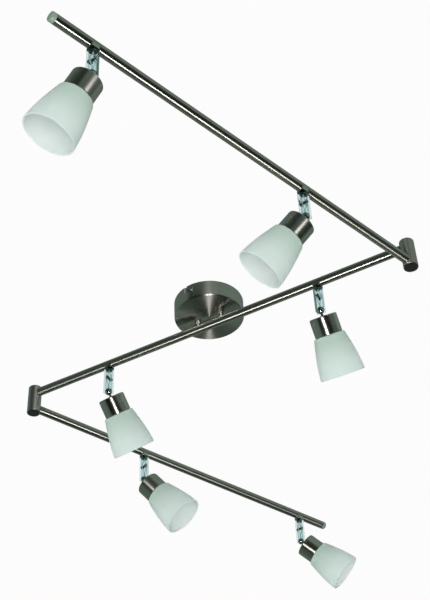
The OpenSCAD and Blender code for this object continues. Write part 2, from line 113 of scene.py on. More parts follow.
def bar_frame(side):
    start, angle, _ = BARS[side]
    return move(*start) @ turn(angle, "Z")


def lamp_frame(n):
    side, reach, _, _ = LAMPS[n]
    return bar_frame(side) @ move(reach, 0, 0)


def head_frame(n):
    _, _, heading, tilt = LAMPS[n]
    spot = lamp_frame(n).translation
    return Matrix.Translation(spot) @ move(0, 0, -BALL_DROP) @ turn(heading, "Z") @ turn(-tilt, "Y")


# ---------------------------------------------------------------- mesh tools
def arc(cx, cy, r, start, end, steps=6):
    """Points of a circle's arc, angles in degrees."""
    out = []
    for k in range(steps + 1):
        a = radians(start + (end - start) * k / steps)
        out.append((cx + r * cos(a), cy + r * sin(a)))
    return out


def soften(points, radius, steps=3):
    """A closed outline with every corner rounded; radius is one number or one for each corner."""
    radii = list(radius) if isinstance(radius, (list, tuple)) else [radius] * len(points)
    out = []
    for k, here in enumerate(points):
        p = Vector(here)
        a, b = Vector(points[k - 1]) - p, Vector(points[(k + 1) % len(points)]) - p
        r = radii[k]
        if r <= 0 or a.length < 1e-6 or b.length < 1e-6:
            out.append(tuple(p))
            continue
        half = a.angle(b) / 2
        if half > radians(86):
            out.append(tuple(p))
            continue
        reach = min(r / tan(half), a.length * 0.45, b.length * 0.45)
        a, b = p + a.normalized() * reach, p + b.normalized() * reach
        for i in range(steps + 1):
            t = i / steps
            out.append(tuple((1 - t) ** 2 * a + 2 * t * (1 - t) * p + t * t * b))
    return out


def to_mesh(name, bm, sharp=38):
    """Finishes a bmesh drawn in millimetres: closed, outward, smooth except over sharp edges."""
    bmesh.ops.remove_doubles(bm, verts=bm.verts, dist=1e-4)
    bmesh.ops.recalc_face_normals(bm, faces=bm.faces)
    bm.transform(Matrix.Scale(MM, 4))
    mesh = bpy.data.meshes.new(name)
    bm.to_mesh(mesh)
    bm.free()
    smooth(mesh, sharp)
    return mesh


def smooth(mesh, sharp=38):
    for p in mesh.polygons:
        p.use_smooth = True
    mesh.set_sharp_from_angle(angle=radians(sharp))


def lathe(name, outline, steps=128, sharp=38):
    """A closed (radius, height) outline turned round Z."""
    bm = bmesh.new()
    rings = []
    for r, z in outline:
        if r < 1e-6:
            rings.append([bm.verts.new((0, 0, z))] * steps)
        else:
            spokes = [2 * pi * k / steps for k in range(steps)]
            rings.append([bm.verts.new((r * cos(a), r * sin(a), z)) for a in spokes])
    for a, b in zip(rings, rings[1:] + rings[:1]):
        for k in range(steps):
            j = (k + 1) % steps
            corners = []
            for v in (a[k], a[j], b[j], b[k]):
                if v not in corners:
                    corners.append(v)
            if len(corners) > 2:
                bm.faces.new(corners)
    return to_mesh(name, bm, sharp)


def prism(name, outline, z0, z1, edge=0.0, sharp=38, edge_steps=3):
    """An outline in XY pushed from z0 to z1, with its top and bottom edges rounded by edge."""
    bm = bmesh.new()
    levels = [(z0, 0), (z1, 0)]
    if edge:
        quarter = [pi / 2 * k / edge_steps for k in range(edge_steps + 1)]
        low = [(z0 + edge * (1 - cos(a)), edge * (1 - sin(a))) for a in quarter]
        levels = low + [(z0 + z1 - z, inset) for z, inset in reversed(low)]
    cx = sum(p[0] for p in outline) / len(outline)
    cy = sum(p[1] for p in outline) / len(outline)
    rings = []
    for z, inset in levels:
        ring = []
        for x, y in outline:
            d = Vector((cx - x, cy - y))
            d = d.normalized() * inset if d.length > 0 else d
            ring.append(bm.verts.new((x + d.x, y + d.y, z)))
        rings.append(ring)
    n = len(outline)
    for a, b in zip(rings, rings[1:]):
        for k in range(n):
            j = (k + 1) % n
            bm.faces.new((a[k], a[j], b[j], b[k]))
    bm.faces.new(rings[0])
    bm.faces.new(rings[-1])
    return to_mesh(name, bm, sharp)


def rounded_box(w, t, r, steps=6):
    """Outline of a w by t rectangle with round corners."""
    pts = []
    for sx, sy, start in ((1, 1, 0), (-1, 1, 90), (-1, -1, 180), (1, -1, 270)):
        pts += arc(sx * (w / 2 - r), sy * (t / 2 - r), r, start, start + 90, steps)
    return pts


def swept(name, points, r, sides=16, turns=10):
    """A round lead along a smooth path through the points, closed at both ends."""
    pts = [Vector(p) for p in points]
    path = []
    for k in range(len(pts) - 1):
        p0, p1, p2, p3 = pts[max(k - 1, 0)], pts[k], pts[k + 1], pts[min(k + 2, len(pts) - 1)]
        for i in range(turns):
            t = i / turns
            path.append(0.5 * (2 * p1 + (p2 - p0) * t + (2 * p0 - 5 * p1 + 4 * p2 - p3) * t * t
                               + (3 * p1 - p0 - 3 * p2 + p3) * t ** 3))
    path.append(pts[-1])
    bm = bmesh.new()
    rings = []
    side = (path[1] - path[0]).orthogonal().normalized()
    for k, p in enumerate(path):
        ahead = (path[min(k + 1, len(path) - 1)] - path[max(k - 1, 0)]).normalized()
        side = (side - ahead * side.dot(ahead)).normalized()
        up = ahead.cross(side)
        spokes = [2 * pi * i / sides for i in range(sides)]
        rings.append([bm.verts.new(p + r * (cos(a) * side + sin(a) * up)) for a in spokes])
    for a, b in zip(rings, rings[1:]):
        for i in range(sides):
            j = (i + 1) % sides
            bm.faces.new((a[i], a[j], b[j], b[i]))
    bm.faces.new(rings[0])
    bm.faces.new(rings[-1])
    return to_mesh(name, bm, 60)


def joined(name, *meshes):
    """Several closed meshes as one datablock."""
    bm = bmesh.new()
    for mesh in meshes:
        bm.from_mesh(mesh)
    out = bpy.data.meshes.new(name)
    bm.to_mesh(out)
    bm.free()
    smooth(out)
    return out


def moved(mesh, matrix):
    out = mesh.copy()
    out.transform(matrix)
    if matrix.determinant() < 0:
        out.flip_normals()
    smooth(out)
    return out


def carve(name, body, tools, keep=(), bevel=0.0, sharp=38):
    """Cuts tools out of a mesh, keeps only what is inside the keep meshes, and bevels what is left."""
    temp = []
    obj = bpy.data.objects.new(name, body.copy())
    bpy.context.scene.collection.objects.link(obj)
    for kind, group in (("INTERSECT", keep), ("DIFFERENCE", tools)):
        for mesh in group:
            tool = bpy.data.objects.new("tool", mesh)
            bpy.context.scene.collection.objects.link(tool)
            temp.append(tool)
            m = obj.modifiers.new("cut", "BOOLEAN")
            m.operation, m.solver, m.object = kind, "EXACT", tool
    if bevel:
        m = obj.modifiers.new("edge", "BEVEL")
        m.width, m.segments, m.limit_method, m.angle_limit = bevel * MM, 2, "ANGLE", radians(40)
        m.use_clamp_overlap = True
    bpy.context.view_layer.update()
    out = bpy.data.meshes.new_from_object(obj.evaluated_get(bpy.context.evaluated_depsgraph_get()))
    out.name = name
    for o in [obj, *temp]:
        bpy.data.objects.remove(o)
    bm = bmesh.new()
    bm.from_mesh(out)
    bmesh.ops.remove_doubles(bm, verts=bm.verts, dist=2e-6)
    bmesh.ops.dissolve_degenerate(bm, edges=bm.edges, dist=1e-6)
    bm.to_mesh(out)
    bm.free()
    smooth(out, sharp)
    return out


def rod(r, z0, z1, steps=64):
    return lathe("rod", [(0, z0), (r, z0), (r, z1), (0, z1)], steps)


def screw_slot(half_length, half_width, z0, z1):
    """The cutter of a screwdriver slot."""
    x, y = half_length, half_width
    return prism("bit", [(-x, -y), (x, -y), (x, y), (-x, y)], z0, z1)


def hexagon(r):
    return [(r * cos(radians(a)), r * sin(radians(a))) for a in range(0, 360, 60)]



def place(name, mesh, material, body, at=None, replaces=()):
    obj = bpy.data.objects.new(name, mesh)
    bpy.context.scene.collection.objects.link(obj)
    if not mesh.materials:
        mesh.materials.append(material)
    obj.matrix_world = at if at is not None else Matrix.Identity(4)
    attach(obj, body)
    if replaces:
        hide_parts(*replaces)
    return obj


# ---------------------------------------------------------------- materials
def new_material(name):
    mat = bpy.data.materials.new(name)
    mat.use_nodes = True
    nt = mat.node_tree
    return mat, nt, nt.nodes["Principled BSDF"]


def node(nt, kind, **settings):
    n = nt.nodes.new(kind)
    for key, value in settings.items():
        if key in n.inputs:
            n.inputs[key].default_value = value
        else:
            setattr(n, key, value)
    return n


def shape_point(nt, scale):
    """The surface point in the piece's own frame, in metres times scale."""
    coord = node(nt, "ShaderNodeTexCoord")
    mapping = node(nt, "ShaderNodeMapping")
    mapping.inputs["Scale"].default_value = scale
    nt.links.new(coord.outputs["Object"], mapping.inputs["Vector"])
    return mapping.outputs["Vector"]


def turned_point(nt, scale):
    """Like shape_point, but (distance from the Z axis, height), for lines that run round the piece."""
    coord = node(nt, "ShaderNodeTexCoord")
    split = node(nt, "ShaderNodeSeparateXYZ")
    flat = node(nt, "ShaderNodeCombineXYZ")
    length = node(nt, "ShaderNodeVectorMath", operation="LENGTH")
    both = node(nt, "ShaderNodeCombineXYZ")
    mapping = node(nt, "ShaderNodeMapping")
    mapping.inputs["Scale"].default_value = scale
    nt.links.new(coord.outputs["Object"], split.inputs[0])
    nt.links.new(split.outputs["X"], flat.inputs["X"])
    nt.links.new(split.outputs["Y"], flat.inputs["Y"])
    nt.links.new(flat.outputs[0], length.inputs[0])
    nt.links.new(length.outputs["Value"], both.inputs["X"])
    nt.links.new(split.outputs["Z"], both.inputs["Z"])
    nt.links.new(split.outputs["X"], both.inputs["Y"])
    nt.links.new(both.outputs[0], mapping.inputs["Vector"])
    return mapping.outputs["Vector"]


NOISE_LOW, NOISE_HIGH = 0.3, 0.7


def spread(nt, source, low, high, to_low, to_high):
    r = node(nt, "ShaderNodeMapRange")
    r.inputs["From Min"].default_value, r.inputs["From Max"].default_value = low, high
    r.inputs["To Min"].default_value, r.inputs["To Max"].default_value = to_low, to_high
    nt.links.new(source, r.inputs["Value"])
    return r.outputs["Result"]


def polish(nt, bsdf, source, smooth_end, rough_end):
    """Roughness that runs between two values with a noise."""
    nt.links.new(spread(nt, source, NOISE_LOW, NOISE_HIGH, smooth_end, rough_end), bsdf.inputs["Roughness"])


def tint(nt, source, dark, light):
    """A colour that runs from dark to light with a noise."""
    ramp = node(nt, "ShaderNodeValToRGB")
    low, high = ramp.color_ramp.elements
    low.position, low.color = NOISE_LOW, (*dark, 1)
    high.position, high.color = NOISE_HIGH, (*light, 1)
    nt.links.new(source, ramp.inputs["Fac"])
    return ramp.outputs["Color"]


def bump(nt, bsdf, source, strength, distance):
    b = node(nt, "ShaderNodeBump")
    b.inputs["Strength"].default_value = strength
    b.inputs["Distance"].default_value = distance
    nt.links.new(source, b.inputs["Height"])
    nt.links.new(b.outputs["Normal"], bsdf.inputs["Normal"])


def brushed(name, colour, rough, grain, anisotropy=0.0, round_axis=None, depth=0.000004, turned=False):
    """Brushed or satin metal: a fine directional grain over slow cloudy changes in polish."""
    mat, nt, bsdf = new_material(name)
    bsdf.inputs["Metallic"].default_value = 1.0
    point = turned_point(nt, grain) if turned else shape_point(nt, grain)
    lines = node(nt, "ShaderNodeTexNoise", Scale=1.0, Detail=3.0)
    nt.links.new(point, lines.inputs["Vector"])
    cloud = node(nt, "ShaderNodeTexNoise", Scale=35.0, Detail=2.0)
    nt.links.new(shape_point(nt, (1, 1, 1)), cloud.inputs["Vector"])
    mix = node(nt, "ShaderNodeMix")
    mix.inputs["Factor"].default_value = 0.4
    nt.links.new(lines.outputs[0], mix.inputs["A"])
    nt.links.new(cloud.outputs[0], mix.inputs["B"])
    dark = tuple(c * 0.86 for c in colour)
    nt.links.new(tint(nt, mix.outputs["Result"], dark, colour), bsdf.inputs["Base Color"])
    polish(nt, bsdf, mix.outputs["Result"], rough * 0.95, rough * 1.05)
    if anisotropy:
        bsdf.inputs["Anisotropic"].default_value = anisotropy
        bsdf.inputs["Anisotropic Rotation"].default_value = 0.25
        tangent = node(nt, "ShaderNodeTangent", direction_type="RADIAL", axis=round_axis)
        nt.links.new(tangent.outputs[0], bsdf.inputs["Tangent"])
    bump(nt, bsdf, lines.outputs[0], 0.35, depth)
    return mat


def plain(name, dark, light, rough, scale=400.0, depth=0.00002, metallic=0.0):
    """Moulded, plated or fired material with mottled colour, polish and a shallow skin."""
    mat, nt, bsdf = new_material(name)
    bsdf.inputs["Metallic"].default_value = metallic
    noise = node(nt, "ShaderNodeTexNoise", Scale=scale, Detail=4.0)
    nt.links.new(shape_point(nt, (1, 1, 1)), noise.inputs["Vector"])
    nt.links.new(tint(nt, noise.outputs[0], dark, light), bsdf.inputs["Base Color"])
    polish(nt, bsdf, noise.outputs[0], rough * 0.85, rough * 1.2)
    bump(nt, bsdf, noise.outputs[0], 0.3, depth)
    return mat


def opal_glass():
    """Cased opal glass: a sea-green satin skin outside, with painted shade that makes it darker near the cup
    and lighter towards the mouth, a whiter skin inside that is partly the white casing and partly painted
    light, and faint clouds.
    """
    mat, nt, bsdf = new_material("opal_glass")
    coord = node(nt, "ShaderNodeTexCoord")
    split = node(nt, "ShaderNodeSeparateXYZ")
    nt.links.new(coord.outputs["Object"], split.inputs[0])
    # painted shade: the outside is tinted darker near the cup and lighter towards the mouth
    painted_cup_shade = spread(nt, split.outputs["Z"], -FLOOR_AT * MM, -MOUTH_AT * MM, 0.0, 1.0)
    cloud = node(nt, "ShaderNodeTexNoise", Scale=55.0, Detail=3.0)
    nt.links.new(coord.outputs["Object"], cloud.inputs["Vector"])
    mix = node(nt, "ShaderNodeMix")
    mix.inputs["Factor"].default_value = 0.12
    nt.links.new(painted_cup_shade, mix.inputs["A"])
    nt.links.new(cloud.outputs[0], mix.inputs["B"])
    outer = tint(nt, mix.outputs["Result"], (0.58, 0.72, 0.65), (0.74, 0.84, 0.81))
    # the inside is tinted whiter: partly the white casing of the glass, partly painted light on the inside of
    # the bell
    inner = tint(nt, cloud.outputs[0], (0.84, 0.91, 0.895), (0.88, 0.935, 0.925))
    radial = node(nt, "ShaderNodeVectorMath", operation="MULTIPLY")
    radial.inputs[1].default_value = (1, 1, 0)
    nt.links.new(coord.outputs["Object"], radial.inputs[0])
    facing = node(nt, "ShaderNodeVectorMath", operation="DOT_PRODUCT")
    nt.links.new(coord.outputs["Normal"], facing.inputs[0])
    nt.links.new(radial.outputs[0], facing.inputs[1])
    inside = spread(nt, facing.outputs["Value"], 0.002, -0.002, 0.0, 1.0)
    skin_tint_and_painted_light = node(nt, "ShaderNodeMix", data_type="RGBA")
    nt.links.new(inside, skin_tint_and_painted_light.inputs["Factor"])
    nt.links.new(outer, skin_tint_and_painted_light.inputs["A"])
    nt.links.new(inner, skin_tint_and_painted_light.inputs["B"])
    nt.links.new(skin_tint_and_painted_light.outputs["Result"], bsdf.inputs["Base Color"])
    polish(nt, bsdf, cloud.outputs[0], 0.50, 0.62)
    bsdf.inputs["Transmission Weight"].default_value = 0.4
    bsdf.inputs["IOR"].default_value = 1.3
    bsdf.inputs["Specular IOR Level"].default_value = 0.3
    bump(nt, bsdf, cloud.outputs[0], 0.15, 0.00001)
    return mat


def clear_plastic():
    """Clear acrylic with a faint sea-green cast and moulding ripples."""
    mat, nt, bsdf = new_material("clear_plastic")
    bsdf.inputs["Transmission Weight"].default_value = 1.0
    bsdf.inputs["IOR"].default_value = 1.08
    noise = node(nt, "ShaderNodeTexNoise", Scale=60.0, Detail=1.0)
    nt.links.new(shape_point(nt, (1, 1, 0.35)), noise.inputs["Vector"])
    colour = tint(nt, noise.outputs[0], (0.66, 0.79, 0.79), (0.71, 0.83, 0.83))
    nt.links.new(colour, bsdf.inputs["Base Color"])
    polish(nt, bsdf, noise.outputs[0], 0.01, 0.04)
    bump(nt, bsdf, noise.outputs[0], 0.1, 0.00001)
    return mat


NICKEL = (0.62, 0.62, 0.58)
tube_metal = brushed("satin_nickel_tube", NICKEL, 0.38, (900, 12, 12), 0.99, "X", 0.0000002)
turned_metal = brushed("satin_nickel_turned", NICKEL, 0.42, (1400, 30, 1400), 0.8, "Z", 0.0000005, True)
canopy_metal = brushed("satin_nickel_canopy", NICKEL, 0.32, (1000, 12, 1000), 0.985, "Z", 0.0000005, True)
cup_metal = brushed("satin_nickel_cup", NICKEL, 0.33, (900, 20, 900), 0.98, "Z", 0.0000004, True)
saddle_metal = brushed("satin_nickel_saddle", NICKEL, 0.28, (700, 700, 60), depth=0.000001)
cap_metal = plain("satin_nickel_end_cap", (0.24, 0.33, 0.27), (0.30, 0.39, 0.32), 0.6, 500, 0.000004, 0.35)
chrome = plain("polished_chrome", (0.74, 0.75, 0.74), (0.80, 0.80, 0.79), 0.05, 90, 0.000004, 1.0)
zinc = plain("zinc_plated_steel", (0.52, 0.54, 0.55), (0.68, 0.68, 0.66), 0.32, 260, 0.00001, 1.0)
acrylic = clear_plastic()
opal = opal_glass()
steatite = plain("steatite_ceramic", (0.66, 0.62, 0.50), (0.76, 0.73, 0.62), 0.55, 500, 0.00004)
bulb_mat = plain("frosted_bulb_glass", (0.80, 0.84, 0.80), (0.92, 0.94, 0.90), 0.35, 300)
black_plastic = plain("black_plastic", (0.006, 0.007, 0.007), (0.016, 0.017, 0.017), 0.42, 900)
rubber_mat = plain("black_rubber", (0.010, 0.010, 0.011), (0.022, 0.022, 0.024), 0.75, 700)
block_mat = plain("white_polyamide", (0.70, 0.70, 0.67), (0.82, 0.82, 0.79), 0.50, 450)
lead_mat = plain("lead_sleeve", (0.62, 0.64, 0.62), (0.78, 0.80, 0.77), 0.30, 600)

# ---------------------------------------------------------------- canopy and posts
round_r, round_z = CANOPY_R - CANOPY_EDGE, -CANOPY_H + CANOPY_EDGE
outline = (
    arc(round_r, round_z, CANOPY_EDGE, -90, 0, 8)
    + [(CANOPY_R, -0.35), (CANOPY_R - 0.12, -0.08), (CANOPY_R - 0.35, 0)]
    + [(CANOPY_R - CANOPY_WALL + 0.2, 0), (CANOPY_R - CANOPY_WALL, -0.3)]
    + arc(round_r, round_z, CANOPY_EDGE - CANOPY_WALL, 0, -90, 6)
    + [(0, -CANOPY_H + CANOPY_WALL), (0, -CANOPY_H)]
)
stud_hole = rod(STUD_HOLE_R, -CANOPY_H - 1, -CANOPY_H + 3)
tools = [moved(stud_hole, move(s * POST_X, 0, 0)) for s in (-1, 1)]
slot_left, slot_right, above_rim = SLOT_ENTRY - SLOT_R, SLOT_ENTRY + SLOT_R, 2
slot = arc(0, SCREW_Z, SLOT_R, 90, 270, 12)
slot += [(slot_right, SCREW_Z - SLOT_R), (slot_right, above_rim)]
slot += [(slot_left, above_rim), (slot_left, SCREW_Z + SLOT_R)]
slot = prism("slot", slot, -CANOPY_R - 3, -CANOPY_R + 5)
tools += [moved(slot, turn(a, "Z") @ turn(90, "X")) for a in (0, 180)]
canopy_mesh = carve("canopy", lathe("canopy_cup", outline, 192), tools, sharp=40)
place("canopy_cup", canopy_mesh, canopy_metal, "fixed_frame", replaces=["canopy"])

screw = soften([(0, -8), (2, -8), (2, 0), (3.6, 0), (3.6, 1.4), (2.4, 2.4), (0, 2.4)],
               [0, 0.2, 0, 0.1, 0.5, 0.5, 0])
screw = carve("side_screw", lathe("side_screw", screw, 64), [screw_slot(4, 0.4, 1.4, 4)], bevel=0.08)
for k, s in enumerate((1, -1)):
    at = turn(0 if s > 0 else 180, "Z") @ move(0, CANOPY_R + FIT, SCREW_Z) @ turn(-90, "X")
    place(f"canopy_screw_{k + 1}", screw, zinc, "fixed_frame", at, ["canopy_screws"])

foot = CENTRE_Z + BAR_R / 2
post = soften([(POST_BORE_R, foot), (POST_R, foot), (POST_R, -CANOPY_H),
               (STUD_R, -CANOPY_H), (STUD_R, STUD_TOP), (POST_BORE_R, STUD_TOP)], [0, 0.1, 0.5, 0, 0.3, 0])
bar_seat = moved(rod(BAR_R + POST_FIT, -THROUGH, THROUGH), move(0, 0, CENTRE_Z) @ turn(90, "Y"))
post = carve("post", lathe("post", post, 96), [bar_seat])
for k, s in enumerate((-1, 1)):
    place(f"hanger_post_{k + 1}", post, turned_metal, "fixed_frame", move(s * POST_X, 0, 0),
          ["hanger_posts"])


# ---------------------------------------------------------------- tubes, knuckles and end caps
def tube_mesh(name, start, end, holes):
    """A tube along X. Each hole has its place, its radius, and whether it is drilled from below."""
    wall = [(BAR_INNER_R, start), (BAR_R, start), (BAR_R, end), (BAR_INNER_R, end)]
    shape = moved(lathe(name, soften(wall, 0.15, 2), 96), turn(90, "Y"))
    tools = []
    for x, r, below in holes:
        low, high = (-BAR_R - 1, -1) if below else (1, BAR_R + 1)
        tools.append(moved(rod(r, low, high, 48), move(x, 0, 0)))
    return carve(name, shape, tools, sharp=40)


half = KNUCKLE_X - TUBE_STOP
centre_mesh = tube_mesh("centre_bar", -half, half, [
    (CENTRE_LAMP, LAMP_HOLE_R, True), (-CENTRE_LAMP, LAMP_HOLE_R, True),
    (POST_X, POST_HOLE_R, False), (-POST_X, POST_HOLE_R, False)])
place("centre_bar", centre_mesh, tube_metal, "fixed_frame", move(0, 0, CENTRE_Z),
      ["centre_tube"])
outer_mesh = tube_mesh("outer_bar", TUBE_STOP, OUTER_REACH - CAP_LEN,
                       [(NEAR_LAMP, LAMP_HOLE_R, True), (FAR_LAMP, LAMP_HOLE_R, True)])

# both halves of a knuckle are drawn upwards from the split, and the lower one is then flipped
half_h = (KNUCKLE_H - KNUCKLE_GAP) / 2
tube_z = (BAR_STEP - KNUCKLE_GAP) / 2


def side_hole(start):
    return moved(rod(BAR_R + FIT, start, 14, 96), move(0, 0, tube_z) @ turn(90, "Y"))


top_outline = soften([(0, 0), (KNUCKLE_R, 0), (KNUCKLE_R, half_h), (0, half_h)],
                     [0, 0.12, KNUCKLE_EDGE, 0], 5)
top_mesh = carve("knuckle_top", lathe("knuckle_top", top_outline, 128),
                 [side_hole(-4), rod(PIN_HOLE_R, -1, tube_z)], sharp=40)
recess = half_h - LID_RECESS_T
base_outline = soften([
    (PIN_HOLE_R, 0), (KNUCKLE_R, 0), (KNUCKLE_R, half_h), (LID_RECESS_R, half_h), (LID_RECESS_R, recess),
    (CHAMBER_R, recess), (CHAMBER_R, CHAMBER_TOP), (PIN_HOLE_R, CHAMBER_TOP)],
    [0, 0.12, KNUCKLE_EDGE * 0.6, 0.1, 0, 0, 0, 0], 5)
base_mesh = carve("knuckle_base", lathe("knuckle_base", base_outline, 128), [side_hole(0)], sharp=40)
flip = Matrix.Scale(-1, 4, Vector((0, 0, 1)))
base_mesh = moved(base_mesh, flip)
lid_outline = soften([(0, -LID_RECESS_T), (LID_R, -LID_RECESS_T), (LID_R, -0.1), (0, -0.1)],
                     [0, 0, 0.35, 0], 4)
lid_mesh = moved(lathe("knuckle_lid", lid_outline, 128), flip)
plug_r, cap_end = BAR_INNER_R - FIT, CAP_LEN - FIT
cap_outline = soften([
    (0, -PLUG_LEN), (plug_r, -PLUG_LEN), (plug_r, 0), (BAR_R - 0.4, 0), (BAR_R, 0.4),
    (BAR_R, cap_end), (0, cap_end)], [0, 0.5, 0, 0, 0.1, 2, 0], 6)
end_mesh = moved(lathe("end_plug", cap_outline, 96), turn(90, "Y"))
for side, sign in (("right", 1), ("left", -1)):
    start, angle, body = BARS[side]
    at = bar_frame(side)
    place(f"outer_bar_{side}", outer_mesh, tube_metal, body, at, [f"outer_tube_{side}"])
    place(f"end_plug_{side}", end_mesh, cap_metal, body, at @ move(OUTER_REACH - CAP_LEN + FIT, 0, 0),
          [f"end_cap_{side}"])
    high = move(sign * KNUCKLE_X, 0, SPLIT_Z + KNUCKLE_GAP / 2) @ turn(180 if sign > 0 else 0, "Z")
    place(f"knuckle_upper_{side}", top_mesh, turned_metal, "fixed_frame", high,
          ["knuckle_tops"])
    low = move(start.x, start.y, SPLIT_Z - KNUCKLE_GAP / 2) @ turn(angle, "Z")
    place(f"knuckle_lower_{side}", base_mesh, turned_metal, body, low,
          [f"knuckle_base_{side}"])
    place(f"knuckle_lid_{side}", lid_mesh, black_plastic, body,
          move(start.x, start.y, SPLIT_Z - KNUCKLE_H / 2), [f"knuckle_cap_{side}"])

# ---------------------------------------------------------------- saddle, built once
flange_top = SADDLE_BOTTOM + SADDLE_NECK
flange_end = flange_top + FLANGE_T
block = prism("saddle", rounded_box(ARM_W, ARM_T, ARM_CORNER, 8), -SADDLE_BOTTOM, -SADDLE_TOP, 0.35)
block = carve("saddle_block", block,
              [moved(rod(BAR_R + SADDLE_FIT, -THROUGH, THROUGH, 128), turn(90, "Y"))])
neck = lathe("saddle_neck", soften([
    (NECK_BORE_R, -flange_end), (FLANGE_R, -flange_end), (FLANGE_R, -flange_top), (NECK_TUBE_R, -flange_top),
    (NECK_TUBE_R, NECK_RIM_LOW), (NECK_RIM_R, NECK_RIM_LOW), (NECK_RIM_R, NECK_RIM_HIGH),
    (NECK_BORE_R, NECK_RIM_HIGH)], [0, 0.3, 0.2, 0, 0, 0, 0.2, 0], 3), 64)

# ---------------------------------------------------------------- clear arm, built once
arm_top = -SADDLE_BOTTOM - ARM_GAP
side_view = [(-ARM_W / 2, arm_top), (-ARM_W / 2, -BALL_DROP)]
side_view += arc(0, -BALL_DROP, ARM_W / 2, 180, 360, 24)[1:-1]
side_view += [(ARM_W / 2, -BALL_DROP), (ARM_W / 2, arm_top)]
slab = moved(prism("arm_slab", side_view, -THROUGH, THROUGH), turn(90, "X"))
column = rounded_box(ARM_W, ARM_T, ARM_CORNER, 8)
column = prism("arm_column", column, -BALL_DROP - ARM_W, -SADDLE_BOTTOM + 2)
cavity_top = flange_top + 1.65
clamp_back = move(0, 0, -CLAMP_Z) @ turn(90, "X")
clamp_front = move(0, 0, -CLAMP_Z) @ turn(-90, "X")
socket = [(0, -BALL_DROP - SOCKET_R), *arc(0, -BALL_DROP, SOCKET_R, -80, 80, 24), (0, -BALL_DROP + SOCKET_R)]
cone_end = -BALL_DROP - CONE_H
cone = [(0, -BALL_DROP), (CONE_H * tan(radians(CONE_ANGLE)), cone_end), (0, cone_end)]
hollow = [
    rod(3.56, -flange_top - 0.1, 0),
    rod(4.85, -cavity_top, -flange_top + 0.15),
    lathe("socket", socket, 64),
    lathe("cone", cone, 96),
    rod(3, -BALL_DROP + 3, -BALL_DROP + 9),
    moved(rod(CLAMP_HOLE_R, -THROUGH, THROUGH, 48), clamp_back),
    moved(rod(2.7, ARM_T / 2 - 1.8, ARM_T, 48), clamp_front),
    moved(prism("nut_pocket", hexagon(NUT_POCKET_R), ARM_T / 2 - 2.3, ARM_T), clamp_back),
]
cavity = prism("cavity", rounded_box(8.5, 7.5, 2, 6), -BALL_DROP + 6.9, -cavity_top + 0.1)
cavity = carve("cavity", cavity, [moved(rod(2.9, -THROUGH, THROUGH, 48), clamp_back)])
shells = []
for s in (-1, 1):
    near, far = (FIT, THROUGH) if s > 0 else (-THROUGH, -FIT)
    keep = prism("half", [(-9, near), (9, near), (9, far), (-9, far)], -70, -5)
    shells.append(carve(f"arm_shell_{s}", column, [cavity, *hollow], keep=[slab, keep], bevel=0.22, sharp=35))

shank_end = -(ARM_T - 2.1)
clamp = lathe("clamp_screw", soften([
    (0, shank_end), (CLAMP_R, shank_end), (CLAMP_R, 0), (CLAMP_HEAD_R, 0), (CLAMP_HEAD_R, CLAMP_HEAD_H),
    (0, CLAMP_HEAD_H)], [0, 0.2, 0, 0.1, 0.6, 0], 4), 48)
cross = [screw_slot(1.6, 0.3, 0.7, 3)]
cross.append(moved(cross[0], turn(90, "Z")))
clamp = moved(carve("clamp_screw", clamp, cross), move(0, ARM_T / 2 - 1.75, -CLAMP_Z) @ turn(-90, "X"))
nut = prism("nut", soften(hexagon(NUT_HALF / cos(pi / 6)), 0.15, 2), 0, NUT_T, 0.25)
nut = carve("clamp_nut", nut, [rod(CLAMP_HOLE_R, -1, 4, 48)])
nut = moved(nut, move(0, -ARM_T / 2 + FIT, -CLAMP_Z) @ turn(-90, "X"))
leads = [swept("arm_lead", [(s * x, 0, z) for x, z in LEAD_ROUTE], LEAD_R) for s in (-1, 1)]
leads = joined("arm_leads", *leads)

# ---------------------------------------------------------------- lamp head, built once; its axis is -Z
stem_end = CUP_GAP + 4.4
stem = soften([(1.2, -stem_end), (3, -stem_end), (3, -CUP_GAP), (4, -CUP_GAP), (4, -CUP_GAP + 0.9),
               (2, -CUP_GAP + 0.9)], [0, 0.3, 0, 0.1, 0.3, 0.3], 3)
stud = lathe("ball_stud", stem + arc(0, 0, BALL_R, -68, 77, 40), 96, sharp=50)
cup_top = -CUP_GAP - FIT
edge_r, edge_z = CUP_R - CUP_EDGE, cup_top - CUP_EDGE
inner_r, flank_z = CUP_R - CUP_WALL, edge_z - 1
cup_outline = (
    [(CUP_HOLE_R, cup_top)]
    + arc(edge_r, edge_z, CUP_EDGE, 90, 0, 10)
    + soften([(CUP_R, flank_z), (CUP_R, -CUP_END), (inner_r, -CUP_END), (inner_r, flank_z)],
             [0, 0.35, 0.25, 0], 4)
    + arc(edge_r, edge_z, CUP_EDGE - CUP_WALL, 0, 90, 6)
    + [(CUP_HOLE_R, cup_top - CUP_WALL)]
)
cup_mesh = lathe("cup", cup_outline, 144)

holder_top = CUP_GAP + CUP_WALL + 0.1
collar = FLOOR_AT - 2.6
collar_end = -collar - COLLAR_T
holder = lathe("lampholder", soften([
    (0, -HOLDER_END), (HOLDER_R, -HOLDER_END), (HOLDER_R, collar_end), (COLLAR_R, collar_end),
    (COLLAR_R, -collar), (HOLDER_R, -collar), (HOLDER_R, -holder_top - 3), (8, -holder_top - 2),
    (8, -holder_top), (0, -holder_top)], [0, 0.8, 0.2, 0.4, 0.4, 0.3, 0.8, 0.5, 0.5, 0], 4), 96)
pin_hole = rod(1.1, -HOLDER_END - 1, -HOLDER_END + HOLDER_RECESS + 6, 32)
holder = carve("lampholder", holder, [
    rod(3.05, -CUP_GAP - 4.6, -CUP_GAP + 2, 48),
    rod(1.6, -CUP_GAP - 12, -CUP_GAP - 4, 32),
    prism("recess", rounded_box(14, 8, 2), -HOLDER_END - 1, -HOLDER_END + HOLDER_RECESS),
    *[moved(pin_hole, move(x, 0, 0)) for x in (-BULB_PIN_X, BULB_PIN_X)]], bevel=0.15)
